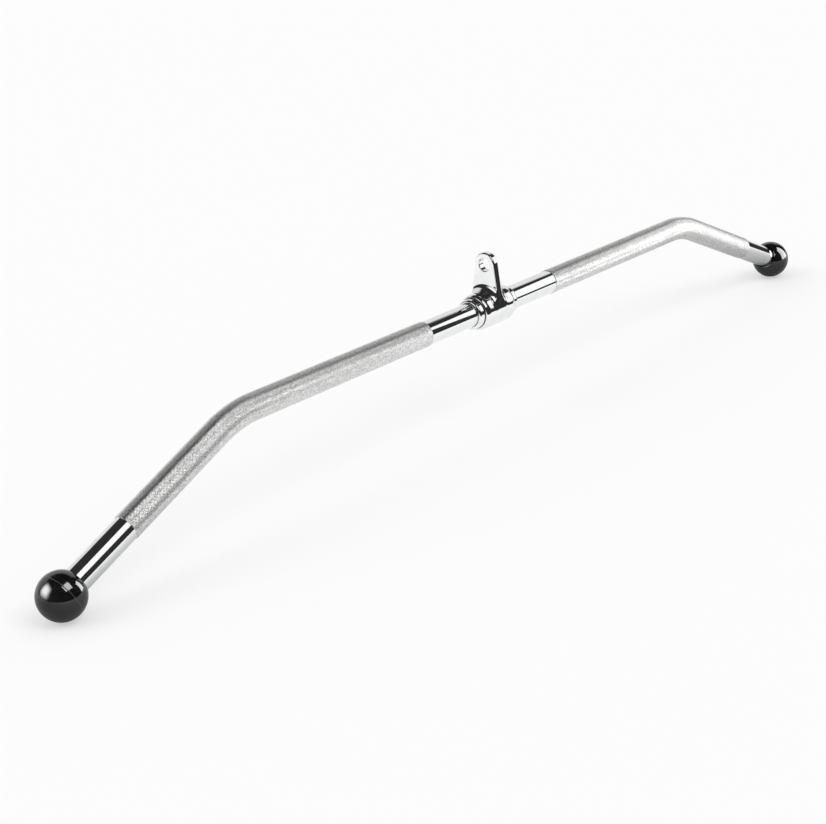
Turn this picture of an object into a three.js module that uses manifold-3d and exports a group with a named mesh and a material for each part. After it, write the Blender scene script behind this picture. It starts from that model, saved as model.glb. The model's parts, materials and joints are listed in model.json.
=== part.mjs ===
// Lat pulldown bar: a bent, knurled steel bar that turns in a hanger with an eye.
// Millimetres, +Z up, +X along the bar. The origin is the centre of the hanger's eye.
import * as THREE from 'three';
import { mergeVertices } from 'three/addons/utils/BufferGeometryUtils.js';
import Module from 'manifold-3d';

const wasm = await Module();
wasm.setup();

// Clearances
const seatGap = 0.3;
const overrun = 2;

// Bar, measured on its centreline
const barRadius = 12.7;
const bendVertexX = 373;
const bendAngle = THREE.MathUtils.degToRad(24);
const bendRadius = 120;
const legLength = 234;

// Knurled grips, proud of the bar
const gripRise = 0.6;
const gripShoulder = 1.5;
const gripStart = 105;
const gripPastVertex = 150;

// Bar ends, turned down to a threaded stud
const barEndChamfer = 1;
const studRadius = 8;
const studLength = 18;
const studChamfer = 1.2;

// End balls, each with a threaded insert moulded in
const ballRadius = 22.75;
const ballLip = 1;
const ballSeatDepth = 2;
const insertWall = 2;
const insertLength = 21;
const insertBoreSpare = 1;
const insertGroove = 0.8;
const insertGrooveWidth = 3;

// Hanger: a sleeve round the bar, and a lug with an eye
const sleeveWall = 4.2;
const sleeveLength = 48;
const sleeveRim = 2.8;
const eyeHeight = 47.5;
const eyeRadius = 7;
const eyeChamfer = 0.8;
const eyeWall = 5.8;
const lugThickness = 8;
const lugEdge = 1.6;
const lugFillet = 8;

// Flanged bushes pressed into the sleeve's ends
const bushWall = 2;
const bushLength = 20;
const bushFlangeRise = 0.9;
const bushFlangeThickness = 1.8;
const bushSunk = 0.9;
const bushChamfer = 0.5;

// Thrust washers and shaft collars on each side of the sleeve
const washerWidth = 2.6;
const washerThickness = 1;
const collarWall = 3;
const collarWidth = 7.4;
const collarEdge = 1.2;

// Grub screws that hold the collars, each in a spot drilled in the bar
const screwRadius = 2;
const screwBite = 2;
const screwPointChamfer = 0.6;
const screwSocketRadius = 1.15;
const screwSocketDepth = 2.2;

// Facets
const roundSteps = 48;
const ballRoundSteps = 40;
const ballRows = 14;
const arcSteps = 6;
const bendSteps = 8;
const smallRoundSteps = 24;
const hexSides = 6;

// Sizes that follow from the ones above
const barAxisZ = -eyeHeight;
const boreRadius = barRadius + seatGap;
const gripRadius = barRadius + gripRise;
const bendTangent = bendRadius * Math.tan(bendAngle / 2);
const bendStart = bendVertexX - bendTangent;
const bendEnd = bendStart + bendRadius * bendAngle;
const gripEnd = bendEnd - bendTangent + gripPastVertex;
const ballCentreAt = bendEnd - bendTangent + legLength;
const ballSeatRadius = barRadius + seatGap;
const ballMouthRadius = ballSeatRadius + ballLip;
const ballMouthOut = Math.sqrt(ballRadius ** 2 - ballMouthRadius ** 2);
const ballSeatOut = ballMouthOut - ballSeatDepth;
const barEndAt = ballCentreAt - ballSeatOut - seatGap;
const studEndAt = barEndAt + studLength;
const insertBoreRadius = studRadius + seatGap;
const insertRadius = insertBoreRadius + insertWall;
const bushRadius = boreRadius + bushWall;
const sleeveBoreRadius = bushRadius + seatGap;
const sleeveRadius = sleeveBoreRadius + sleeveWall;
const lugTopRadius = eyeRadius + eyeWall;
const bushFlangeRadius = bushRadius + bushFlangeRise;
const bushOuterX = sleeveLength / 2 - bushSunk;
const washerRadius = boreRadius + washerWidth;
const washerInnerX = bushOuterX + seatGap;
const collarRadius = boreRadius + collarWall;
const collarInnerX = washerInnerX + washerThickness + seatGap;
const collarMiddleX = collarInnerX + collarWidth / 2;
const screwTipRadius = barRadius + seatGap - screwBite;

// Materials
const chrome = new THREE.MeshStandardMaterial({ color: 0xd8dadc, roughness: 0.08, metalness: 1 });
const blackPlastic = new THREE.MeshStandardMaterial({ color: 0x111111, roughness: 0.15, metalness: 0 });
const nylon = new THREE.MeshStandardMaterial({ color: 0x1c1c1c, roughness: 0.5, metalness: 0 });
const bronze = new THREE.MeshStandardMaterial({ color: 0xb08a4c, roughness: 0.4, metalness: 1 });
const darkSteel = new THREE.MeshStandardMaterial({ color: 0x33353a, roughness: 0.45, metalness: 1 });

function point(x, y) {
  return new THREE.Vector2(x, y);
}

// Points of an arc about (x, y), from one angle to another.
function arcPoints(x, y, radius, from, to, steps) {
  const points = [];
  for (let i = 0; i <= steps; i += 1) {
    const angle = from + ((to - from) * i) / steps;
    points.push(point(x + radius * Math.cos(angle), y + radius * Math.sin(angle)));
  }
  return points;
}

// A revolved solid whose axis is +Y. Profile points are (radius, height), going up the outside.
function revolve(profile, steps = roundSteps) {
  return new THREE.LatheGeometry(profile, steps);
}

// The same, with its axis turned to +X.
function revolveAboutX(profile, steps = roundSteps) {
  return revolve(profile, steps).rotateZ(-Math.PI / 2);
}

// A closed three.js geometry as a solid that can be joined and cut.
function toSolid(geometry) {
  const bare = geometry.clone();
  bare.deleteAttribute('normal');
  bare.deleteAttribute('uv');
  const merged = mergeVertices(bare);
  const index = merged.index.array;
  const triangles = [];
  for (let i = 0; i < index.length; i += 3) {
    const [a, b, c] = [index[i], index[i + 1], index[i + 2]];
    if (a !== b && b !== c && c !== a) triangles.push(a, b, c);
  }
  const mesh = new wasm.Mesh({
    numProp: 3,
    vertProperties: new Float32Array(merged.attributes.position.array),
    triVerts: new Uint32Array(triangles),
  });
  return new wasm.Manifold(mesh);
}

// A solid back as a three.js geometry.
function toGeometry(solid) {
  const mesh = solid.getMesh();
  const geometry = new THREE.BufferGeometry();
  geometry.setAttribute('position', new THREE.BufferAttribute(new Float32Array(mesh.vertProperties), 3));
  geometry.setIndex(new THREE.BufferAttribute(new Uint32Array(mesh.triVerts), 1));
  geometry.computeVertexNormals();
  return geometry;
}

// Place and outward direction of the bar's centreline, at a distance along it from the middle.
function centreline(distance) {
  const side = Math.sign(distance);
  const along = Math.abs(distance);
  const turned = Math.min(Math.max(along - bendStart, 0) / bendRadius, bendAngle);
  const straight = Math.min(along, bendStart);
  const leg = Math.max(along - bendEnd, 0);
  const x = straight + bendRadius * Math.sin(turned) + leg * Math.cos(turned);
  const drop = bendRadius * (1 - Math.cos(turned)) + leg * Math.sin(turned);
  return {
    place: new THREE.Vector3(side * x, 0, -drop),
    outward: new THREE.Vector3(side * Math.cos(turned), 0, -Math.sin(turned)),
    tilt: side * turned,
  };
}

// Distances and radii of the bar's right half, from its middle out to the tip of its stud.
function barStations() {
  const stations = [
    [gripStart, barRadius],
    [gripStart + gripShoulder, gripRadius],
  ];
  for (let i = 0; i <= bendSteps; i += 1) {
    stations.push([bendStart + ((bendEnd - bendStart) * i) / bendSteps, gripRadius]);
  }
  stations.push(
    [gripEnd - gripShoulder, gripRadius],
    [gripEnd, barRadius],
    [barEndAt - barEndChamfer, barRadius],
    [barEndAt, barRadius - barEndChamfer],
    [barEndAt, studRadius],
    [studEndAt - studChamfer, studRadius],
    [studEndAt, studRadius - studChamfer],
  );
  return stations;
}

// A round bar lofted through rings set square to the centreline, and closed at both ends.
function loftedBar() {
  const half = barStations();
  const mirrored = half.map(([distance, radius]) => [-distance, radius]).reverse();
  const stations = [...mirrored, ...half];
  const positions = [];
  const triangles = [];
  stations.forEach(([distance, radius]) => {
    const { place, tilt } = centreline(distance);
    for (let j = 0; j < roundSteps; j += 1) {
      const angle = (2 * Math.PI * j) / roundSteps;
      const across = radius * Math.cos(angle);
      const up = radius * Math.sin(angle);
      positions.push(place.x + up * Math.sin(tilt), across, place.z + up * Math.cos(tilt));
    }
  });
  for (let i = 0; i < stations.length - 1; i += 1) {
    for (let j = 0; j < roundSteps; j += 1) {
      const next = (j + 1) % roundSteps;
      const [a, b] = [i * roundSteps + j, i * roundSteps + next];
      const [c, d] = [a + roundSteps, b + roundSteps];
      triangles.push(a, b, d, a, d, c);
    }
  }
  const tips = [-studEndAt, studEndAt].map((distance) => {
    const { place } = centreline(distance);
    positions.push(place.x, place.y, place.z);
    return positions.length / 3 - 1;
  });
  const lastRing = (stations.length - 1) * roundSteps;
  for (let j = 0; j < roundSteps; j += 1) {
    const next = (j + 1) % roundSteps;
    triangles.push(tips[0], next, j, tips[1], lastRing + j, lastRing + next);
  }
  const geometry = new THREE.BufferGeometry();
  geometry.setAttribute('position', new THREE.Float32BufferAttribute(positions, 3));
  geometry.setIndex(triangles);
  return geometry;
}

// The spot that takes a grub screw's point, drilled upwards into the underside of the bar.
function screwSpot() {
  const holeRadius = screwRadius + seatGap;
  const floor = screwTipRadius - seatGap;
  const profile = [
    point(0, floor),
    point(holeRadius - screwPointChamfer, floor),
    point(holeRadius, floor + screwPointChamfer),
    point(holeRadius, collarRadius + overrun),
    point(0, collarRadius + overrun),
  ];
  return toSolid(revolve(profile, smallRoundSteps).rotateX(-Math.PI / 2));
}

function bentBar() {
  const spot = screwSpot();
  const solid = toSolid(loftedBar())
    .subtract(spot.translate([collarMiddleX, 0, 0]))
    .subtract(spot.translate([-collarMiddleX, 0, 0]));
  return toGeometry(solid);
}

// Outline of the lug, seen along the bar: a round top and sides tangent to the sleeve.
function lugOutline() {
  const lean = Math.asin((sleeveRadius - lugTopRadius) / eyeHeight);
  const top = arcPoints(0, eyeHeight, lugTopRadius, lean, Math.PI - lean, 2 * arcSteps);
  const foot = arcPoints(0, 0, sleeveRadius, Math.PI - lean, 2 * Math.PI + lean, 2 * arcSteps);
  return new THREE.Shape([...top, ...foot]);
}

// The lug's plate, square to the bar, with rounded edges.
function lugPlate() {
  const plate = new THREE.ExtrudeGeometry(lugOutline(), {
    depth: lugThickness - 2 * lugEdge,
    bevelThickness: lugEdge,
    bevelSize: lugEdge,
    bevelOffset: -lugEdge,
    bevelSegments: arcSteps / 2,
  });
  plate.translate(0, 0, lugEdge - lugThickness / 2);
  return toSolid(standAcrossBar(plate));
}

// A shape drawn in the lug's plane is turned to stand square to the bar.
function standAcrossBar(geometry) {
  return geometry.rotateX(Math.PI / 2).rotateZ(Math.PI / 2);
}

// The blend between the lug's faces and the sleeve, revolved about the bar and cut to the lug's sides.
function lugFoot() {
  const centreX = lugThickness / 2 + lugFillet;
  const centreRadius = sleeveRadius + lugFillet;
  const rising = arcPoints(centreRadius, -centreX, lugFillet, Math.PI, Math.PI / 2, arcSteps);
  const falling = arcPoints(centreRadius, centreX, lugFillet, -Math.PI / 2, -Math.PI, arcSteps);
  const profile = [point(0, -centreX), ...rising, ...falling, point(0, centreX)];
  const sides = new THREE.ExtrudeGeometry(lugOutline(), { depth: 2 * centreX, bevelEnabled: false });
  sides.translate(0, 0, -centreX);
  return toSolid(revolveAboutX(profile)).intersect(toSolid(standAcrossBar(sides)));
}

// The sleeve before it is bored, with rounded rims.
function sleeveBlank() {
  const end = sleeveLength / 2;
  const rim = sleeveRadius - sleeveRim;
  const profile = [
    point(0, -end),
    ...arcPoints(rim, sleeveRim - end, sleeveRim, -Math.PI / 2, 0, arcSteps),
    ...arcPoints(rim, end - sleeveRim, sleeveRim, 0, Math.PI / 2, arcSteps),
    point(0, end),
  ];
  return toSolid(revolveAboutX(profile));
}

// The sleeve's bore, with a counterbore at each end for a bush's flange.
function sleeveBore() {
  const end = sleeveLength / 2;
  const counterboreRadius = bushFlangeRadius + seatGap;
  const counterboreX = bushOuterX - bushFlangeThickness - seatGap;
  const profile = [
    point(0, -end - overrun),
    point(counterboreRadius, -end - overrun),
    point(counterboreRadius, -counterboreX),
    point(sleeveBoreRadius, -counterboreX),
    point(sleeveBoreRadius, counterboreX),
    point(counterboreRadius, counterboreX),
    point(counterboreRadius, end + overrun),
    point(0, end + overrun),
  ];
  return toSolid(revolveAboutX(profile));
}

// The eye, with its rims chamfered on both faces of the lug.
function eyeHole() {
  const face = lugThickness / 2;
  const mouth = eyeRadius + eyeChamfer + overrun;
  const profile = [
    point(0, -face - overrun),
    point(mouth, -face - overrun),
    point(eyeRadius, eyeChamfer - face),
    point(eyeRadius, face - eyeChamfer),
    point(mouth, face + overrun),
    point(0, face + overrun),
  ];
  return toSolid(revolveAboutX(profile, smallRoundSteps)).translate([0, 0, eyeHeight]);
}

function hangerBody() {
  const solid = sleeveBlank()
    .add(lugPlate())
    .add(lugFoot())
    .subtract(sleeveBore())
    .subtract(eyeHole());
  return toGeometry(solid);
}

// A flanged bush with its flange at the outer end, towards +X.
function bush() {
  const inner = bushOuterX - bushLength;
  const flangeInner = bushOuterX - bushFlangeThickness;
  const profile = [
    point(boreRadius, inner),
    point(bushRadius - bushChamfer, inner),
    point(bushRadius, inner + bushChamfer),
    point(bushRadius, flangeInner),
    point(bushFlangeRadius, flangeInner),
    point(bushFlangeRadius, bushOuterX - bushChamfer),
    point(bushFlangeRadius - bushChamfer, bushOuterX),
    point(boreRadius, bushOuterX),
    point(boreRadius, inner),
  ];
  return revolveAboutX(profile);
}

function thrustWasher() {
  const outerX = washerInnerX + washerThickness;
  const profile = [
    point(boreRadius, washerInnerX),
    point(washerRadius, washerInnerX),
    point(washerRadius, outerX),
    point(boreRadius, outerX),
    point(boreRadius, washerInnerX),
  ];
  return revolveAboutX(profile);
}

// A shaft collar with chamfered edges, cross drilled below for its grub screw.
function collar() {
  const outerX = collarInnerX + collarWidth;
  const profile = [
    point(boreRadius, collarInnerX),
    point(collarRadius - collarEdge, collarInnerX),
    point(collarRadius, collarInnerX + collarEdge),
    point(collarRadius, outerX - collarEdge),
    point(collarRadius - collarEdge, outerX),
    point(boreRadius, outerX),
    point(boreRadius, collarInnerX),
  ];
  const ring = toSolid(revolveAboutX(profile));
  return toGeometry(ring.subtract(screwSpot().translate([collarMiddleX, 0, 0])));
}

// A grub screw with a hexagon socket, pointing up into the bar from below.
function grubScrew() {
  const tip = screwTipRadius;
  const head = collarRadius;
  const profile = [
    point(0, tip),
    point(screwRadius - screwPointChamfer, tip),
    point(screwRadius, tip + screwPointChamfer),
    point(screwRadius, head),
    point(0, head),
  ];
  const socket = new THREE.CylinderGeometry(
    screwSocketRadius,
    screwSocketRadius,
    screwSocketDepth + overrun,
    hexSides,
  ).translate(0, head + (overrun - screwSocketDepth) / 2, 0);
  const solid = toSolid(revolve(profile, smallRoundSteps)).subtract(toSolid(socket));
  return toGeometry(solid).rotateX(-Math.PI / 2);
}

// A ball with a flat mouth, a shallow seat for the bar's end and a pocket for its insert.
function endBall() {
  const mouthAngle = Math.asin(ballMouthOut / ballRadius);
  const pocketRadius = insertRadius + seatGap;
  const pocketFloor = ballSeatOut - insertLength - seatGap;
  const profile = [
    ...arcPoints(0, 0, ballRadius, -Math.PI / 2, mouthAngle, ballRows),
    point(ballSeatRadius, ballMouthOut),
    point(ballSeatRadius, ballSeatOut),
    point(pocketRadius, ballSeatOut),
    point(pocketRadius, pocketFloor),
    point(0, pocketFloor),
  ];
  profile[0].x = 0;
  return revolve(profile, ballRoundSteps);
}

// A blind threaded insert with two grooves that key it into the ball.
function ballInsert() {
  const mouth = ballSeatOut;
  const floor = mouth - insertLength;
  const boreFloor = mouth + seatGap - studLength - insertBoreSpare;
  const land = (insertLength - 2 * insertGrooveWidth) / 3;
  const waist = insertRadius - insertGroove;
  const profile = [point(0, floor)];
  [0, 1].forEach((turn) => {
    const start = floor + turn * (land + insertGrooveWidth);
    profile.push(
      point(insertRadius, start),
      point(insertRadius, start + land),
      point(waist, start + land),
      point(waist, start + land + insertGrooveWidth),
    );
  });
  profile.push(
    point(insertRadius, mouth - land),
    point(insertRadius, mouth),
    point(insertBoreRadius, mouth),
    point(insertBoreRadius, boreFloor),
    point(0, boreFloor),
  );
  return revolve(profile, smallRoundSteps);
}

function named(name, geometry, material) {
  const mesh = new THREE.Mesh(geometry, material);
  mesh.name = name;
  return mesh;
}

// A piece for one side of the hanger. The left one is the right one turned half a turn about +Z.
function besideHanger(side, name, geometry, material) {
  const mesh = named(name, geometry, material);
  if (side < 0) mesh.rotation.z = Math.PI;
  return mesh;
}

// A piece on the bar's end, with its own +Y pointing back up the leg.
function onBarEnd(side, name, geometry, material) {
  const mesh = named(name, geometry, material);
  const { place, outward } = centreline(side * ballCentreAt);
  mesh.position.copy(place);
  mesh.quaternion.setFromUnitVectors(new THREE.Vector3(0, 1, 0), outward.negate());
  return mesh;
}

const latBar = new THREE.Group();
latBar.name = 'lat_pulldown_bar';
latBar.position.z = barAxisZ;
latBar.add(named('hanger_body', hangerBody(), chrome));
latBar.add(named('bent_bar', bentBar(), chrome));
[['left', -1], ['right', 1]].forEach(([word, side]) => {
  latBar.add(besideHanger(side, `${word}_bush`, bush(), bronze));
  latBar.add(besideHanger(side, `${word}_thrust_washer`, thrustWasher(), nylon));
  latBar.add(besideHanger(side, `${word}_collar`, collar(), chrome));
  const screw = named(`${word}_collar_screw`, grubScrew(), darkSteel);
  screw.position.x = side * collarMiddleX;
  latBar.add(screw);
  latBar.add(onBarEnd(side, `${word}_ball`, endBall(), blackPlastic));
  latBar.add(onBarEnd(side, `${word}_ball_insert`, ballInsert(), bronze));
});

export default latBar;
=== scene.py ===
import json
import math

import bmesh
import bpy
import numpy as np
from bpy.props import (
    FloatProperty,
    FloatVectorProperty,
    IntProperty,
    PointerProperty,
)
from mathutils import Matrix, Vector

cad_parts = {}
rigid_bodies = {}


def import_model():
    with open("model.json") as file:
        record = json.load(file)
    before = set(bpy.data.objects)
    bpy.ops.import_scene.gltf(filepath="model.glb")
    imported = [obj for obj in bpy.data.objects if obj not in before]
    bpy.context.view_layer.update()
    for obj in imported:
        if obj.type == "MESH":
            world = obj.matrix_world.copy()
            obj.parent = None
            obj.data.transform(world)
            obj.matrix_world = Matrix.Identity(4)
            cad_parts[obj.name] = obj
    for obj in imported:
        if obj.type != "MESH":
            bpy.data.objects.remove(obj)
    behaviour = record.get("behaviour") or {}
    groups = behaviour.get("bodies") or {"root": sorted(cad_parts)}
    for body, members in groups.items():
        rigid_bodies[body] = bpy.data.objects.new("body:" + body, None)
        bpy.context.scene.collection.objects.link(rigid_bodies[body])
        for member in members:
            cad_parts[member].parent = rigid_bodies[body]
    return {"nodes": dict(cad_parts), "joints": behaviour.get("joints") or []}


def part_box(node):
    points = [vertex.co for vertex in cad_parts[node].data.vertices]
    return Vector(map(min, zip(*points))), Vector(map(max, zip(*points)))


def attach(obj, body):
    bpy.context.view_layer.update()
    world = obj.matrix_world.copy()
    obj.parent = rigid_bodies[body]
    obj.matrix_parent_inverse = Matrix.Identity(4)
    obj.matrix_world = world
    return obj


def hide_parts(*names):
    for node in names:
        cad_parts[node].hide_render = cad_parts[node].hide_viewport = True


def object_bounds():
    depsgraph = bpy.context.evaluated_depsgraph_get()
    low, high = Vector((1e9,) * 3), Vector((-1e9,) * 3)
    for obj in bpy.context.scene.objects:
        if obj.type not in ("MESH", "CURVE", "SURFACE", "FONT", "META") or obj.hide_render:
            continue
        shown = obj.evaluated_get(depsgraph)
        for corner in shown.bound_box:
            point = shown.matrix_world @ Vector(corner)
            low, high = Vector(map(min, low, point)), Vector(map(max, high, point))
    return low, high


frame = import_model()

bl_info = {
    "name": "Lat Pulldown Bar",
    "version": (1, 0, 0),
    "blender": (4, 5, 0),
    "location": "3D View > Sidebar > Lat Bar",
    "description": "Builds a knurled lat pulldown bar, its swivel hanger and a plain studio",
    "category": "Add Mesh",
}

CAD_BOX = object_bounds()
AXIS = Vector(next(joint["pos_m"] for joint in frame["joints"] if joint["name"] == "bar_spin"))
SIDES = (("left", -1), ("right", 1))
WHITE = (1, 1, 1, 1)

# Steps round the bar and the balls, points along a bend and a grip, and rows of a ball.
ROUND_STEPS = 144
BEND_POINTS = 25
PATH_POINTS = 400
BALL_ROWS = 150
SHARP_ANGLE = math.radians(30)

# How often a skin's points are moved onto its form, and the least slope that this divides by.
SKIN_ROUNDS = 4
LEAST_SLOPE = 1e-6

# Small edges, blends and clearances of the hanger and the collars.
FLANGE_GAP = 0.0003
RECESS_DEPTH = 0.0021
RECESS_EDGE = 0.0003
BORE_EDGE = 0.0005
SLEEVE_BLEND = 0.0008
COLLAR_CORNER = 0.0004

# The edges of the balls' mouths: an angle that the curve stops short by, and two chamfers.
MOUTH_ANGLE_GAP = 0.02
MOUTH_EDGE = 0.0003
SEAT_EDGE = 0.0002

# The mould seam's steps, as shares of its half width. Then, as shares of its width, how far the
# rest of the ball stays off its middle and what is marked for the seam's painted highlight, outside a
# radius.
SEAM_STEPS = (-1, -0.6, -0.25, 0.25, 0.6, 1)
SEAM_CLEAR_SHARE = 0.6
SEAM_MARK_SHARE = 0.4
SEAM_LEAST_RADIUS = 0.02

# Levels of the dark studio and its bright back wall in reflections, and the wall's place in degrees.
DARK_LEVEL = 0.03
WALL_LEVEL = 0.86
WALL_AZIMUTHS = (8, 112)
WALL_ELEVATIONS = (-40, 41)
WALL_FADE = 5

# The broad lamps: azimuth and elevation in degrees, and the angle that each fills.
LEFT_LAMP = (147, 35)
TOP_LAMP = (283, 53)
LAMP_ANGLE = math.radians(38)

# The softboxes beside the bar as balls, grips and smooth metal see them: place, what they face,
# width, height and edge softness.
LEFT_BOX = ((-1.2, 0.415, 0.26), (-0.587, 0, 0.1), 0.72, 0.86, 0.35)
TOP_BOX = ((-0.355, -1.001, 1.133), (-0.587, 0, -0.143), 1.3, 1.16, 0.06)
BROAD_LEFT_BOX = ((-1.2, 0.415, 0.3), (-0.587, 0, 0.14), 0.98, 1.0, 0.42)
NARROW_TOP_BOX = ((-0.37, -0.938, 1.18), (-0.587, 0, -0.143), 1.1, 0.88, 0.06)
TALL_RIGHT_BOX = ((1.07, -0.514, 0.38), (0.1, 0.17, 0.38), 0.63, 1.08, 0.03)
RIGHT_BOX = ((1.058, -0.53, 0.435), (0.1, 0.17, 0.435), 0.67, 0.87, 0.03)
FRONT_BOX = ((1.0, -1.1, -0.16), (1.0, -1.1, 1.0), 1.2, 1.0, 0.2)
BALL_BOXES = (BROAD_LEFT_BOX, NARROW_TOP_BOX, TALL_RIGHT_BOX)
GRIP_BOXES = (LEFT_BOX, TOP_BOX, TALL_RIGHT_BOX, FRONT_BOX)
METAL_BOXES = (LEFT_BOX, TOP_BOX, RIGHT_BOX)

# The pieces with softboxes of their own.
BALLS = ("left_end_ball", "right_end_ball")
GRIPS = ("left_grip", "right_grip")

# The paper: two opposite corners as the camera and as reflections see it, and the gaps between the
# CAD, the table and the floor. Then its glow, and the painted shade of its reflections: a dimmer glow
# along the bar, darkest below and past its ends.
FLOOR_CORNERS = ((-9, -9), (9, 9))
TABLE_CORNERS = ((-1.6, -0.58), (2.4, 2.4))
TABLE_GAP = 0.0001
FLOOR_GAP = 0.0002
FLOOR_GLOW = 0.49
TABLE_GLOW = 0.56
SHADED_GLOW = 0.48
SHADE_FROM = 0.25
SHADE_TO = 0.6
SHADE_WIDTH = 0.25

# The camera's sensor in millimetres, and how far it sees in metres.
SENSOR_WIDTH = 36
CLIP_END = 60


def length(name, description, default):
    """A length that a user can change."""
    return FloatProperty(name=name, description=description, default=default, unit="LENGTH")


def tint(name, description, default):
    """A colour that a user can change."""
    return FloatVectorProperty(
        name=name, description=description, default=default, subtype="COLOR", min=0.0, max=1.0
    )


class LatBarSizes(bpy.types.PropertyGroup):
    """Sizes of the bar and its grips."""

    radius: length("Bar radius", "Radius of the smooth bar", 0.0127)
    bend_vertex: length("Bend vertex", "From the middle to where the straight lines cross", 0.373)
    bend_angle: FloatProperty(
        name="Bend angle", description="How far each leg is bent down",
        default=math.radians(24), unit="ROTATION"
    )
    bend_radius: length("Bend radius", "Radius of the bend on the centreline", 0.12)
    leg_length: length("Leg length", "From the bend's vertex to the centre of the ball", 0.234)
    end_setback: length(
        "End setback", "From the centre of the ball back to the bar's shoulder", 0.01623
    )
    end_chamfer: length("End chamfer", "Chamfer on the bar's shoulder", 0.001)
    stud_radius: length("Stud radius", "Radius of the stud inside the ball", 0.008)
    stud_length: length("Stud length", "Length of the stud inside the ball", 0.018)
    grip_start: length("Grip start", "From the middle to where the knurling starts", 0.105)
    grip_past_vertex: length("Grip past vertex", "How far the knurling runs down the leg", 0.15)
    crest_radius: length("Crest radius", "Radius over the tips of the knurl", 0.01328)
    tooth_depth: length("Tooth depth", "Depth of the knurl's grooves", 0.00015)
    tooth_step: length("Tooth step", "Half the length of one diamond along the bar", 0.001)
    teeth_around: IntProperty(
        name="Steps around", description="Half diamonds around the bar, an even number", default=104
    )


class LatBarHanger(bpy.types.PropertyGroup):
    """Sizes of the hanger, and of the parts beside it."""

    sleeve_radius: length("Sleeve radius", "Outer radius of the sleeve", 0.0195)
    sleeve_length: length("Sleeve length", "Length of the sleeve along the bar", 0.048)
    sleeve_rim: length("Sleeve rim", "Depth of the rounding of the sleeve's ends", 0.0028)
    sleeve_taper: length("Sleeve taper", "Length of the rounding of the sleeve's ends", 0.0058)
    bore_radius: length("Bore radius", "Bore that takes the bushes", 0.0153)
    lug_radius: length("Lug radius", "Radius of the lug's top", 0.0128)
    lug_thickness: length("Lug thickness", "Thickness of the lug", 0.008)
    lug_edge: length("Lug edge", "Rounding of the lug's edges", 0.0016)
    lug_fillet: length("Lug fillet", "Blend between lug and sleeve", 0.008)
    eye_radius: length("Eye radius", "Radius of the eye", 0.007)
    eye_rim: length("Eye rim", "Rounding of the eye's rims", 0.0009)
    collar_radius: length("Collar radius", "Outer radius of the shaft collars", 0.016)
    collar_width: length("Collar width", "Width of the shaft collars", 0.0074)
    collar_bore: length("Collar bore", "Radius of the collars' bores", 0.013)
    screw_hole: length("Screw hole", "Radius of the holes that take the grub screws", 0.0023)
    collar_cell: length("Collar detail", "Mesh size of the collars", 0.00035)
    collar_edge: length("Collar edge", "Rounding of the collars' outer rims", 0.0022)
    collar_middle: length(
        "Collar middle", "From the middle of the bar to a collar's middle", 0.0284
    )
    cell: length("Detail", "Mesh size of the hanger's forging", 0.0006)


class LatBarBalls(bpy.types.PropertyGroup):
    """Sizes of the end balls."""

    radius: length("Ball radius", "Radius of the end balls", 0.0226)
    seat_radius: length("Seat radius", "Radius of the seat for the bar's end", 0.013)
    lip: length("Lip", "Width of the flat rim round the seat", 0.001)
    seat_depth: length("Seat depth", "Depth of the seat", 0.002)
    pocket_radius: length("Pocket radius", "Pocket that holds the insert", 0.0106)
    pocket_depth: length("Pocket depth", "Depth of the pocket", 0.0213)
    seam_height: length("Seam height", "Height of the mould seam", 0.0001)
    seam_width: length("Seam width", "Width of the mould seam", 0.0009)


class LatBarColours(bpy.types.PropertyGroup):
    """Colours of the finishes."""

    chrome: tint("Chrome", "Polished chrome plate", (0.86, 0.865, 0.87))
    knurl: tint("Knurled chrome", "Chrome plate on the knurled grips", (0.95, 0.955, 0.945))
    plastic: tint("Ball plastic", "Moulded plastic of the balls", (0.004, 0.004, 0.004))
    nylon: tint("Nylon", "Thrust washers", (0.03, 0.03, 0.03))
    bronze: tint("Bronze", "Oiled bushes", (0.62, 0.46, 0.22))
    brass: tint("Brass", "Threaded inserts", (0.72, 0.55, 0.25))
    screw: tint("Black oxide", "Grub screws", (0.10, 0.10, 0.11))
    floor: tint("Floor", "Studio floor", (0.465, 0.465, 0.465))


class LatBarStudio(bpy.types.PropertyGroup):
    """The camera and the light."""

    camera_place: FloatVectorProperty(
        name="Camera", description="Where the camera stands", subtype="TRANSLATION",
        unit="LENGTH", default=(-1.42995, -1.14633, 0.54491)
    )
    camera_heading: FloatProperty(
        name="Heading", description="Direction that the camera looks in, from +X towards +Y",
        default=0.72142, unit="ROTATION"
    )
    camera_pitch: FloatProperty(
        name="Pitch", description="How far the camera looks up", default=-0.36816, unit="ROTATION"
    )
    camera_roll: FloatProperty(
        name="Roll", description="How far the camera leans", default=-0.04714, unit="ROTATION"
    )
    camera_lens: FloatProperty(
        name="Lens", description="Focal length in millimetres on a 36 mm sensor", default=79.695
    )
    sky_level: FloatProperty(
        name="Sky level", description="Even light from all round", default=0.75
    )
    left_strength: FloatProperty(
        name="Left lamp", description="Strength of the broad lamp on the left", default=0.7
    )
    top_strength: FloatProperty(
        name="Top lamp", description="Strength of the broad lamp overhead", default=0.7
    )
    gloss_levels: FloatVectorProperty(
        name="Softboxes on gloss",
        description="Brightness of the left, top and right softboxes that the black balls reflect",
        default=(14.5, 9.0, 9.5)
    )
    metal_levels: FloatVectorProperty(
        name="Softboxes on metal",
        description="Brightness of the left, top and right softboxes that the metal reflects",
        default=(1.25, 1.15, 1.15)
    )
    grip_levels: FloatVectorProperty(
        name="Softboxes on grips",
        description="Brightness of the left, top, right and front softboxes that the knurling reflects",
        default=(2.8, 2.7, 2.6, 8.0), size=4
    )


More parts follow.
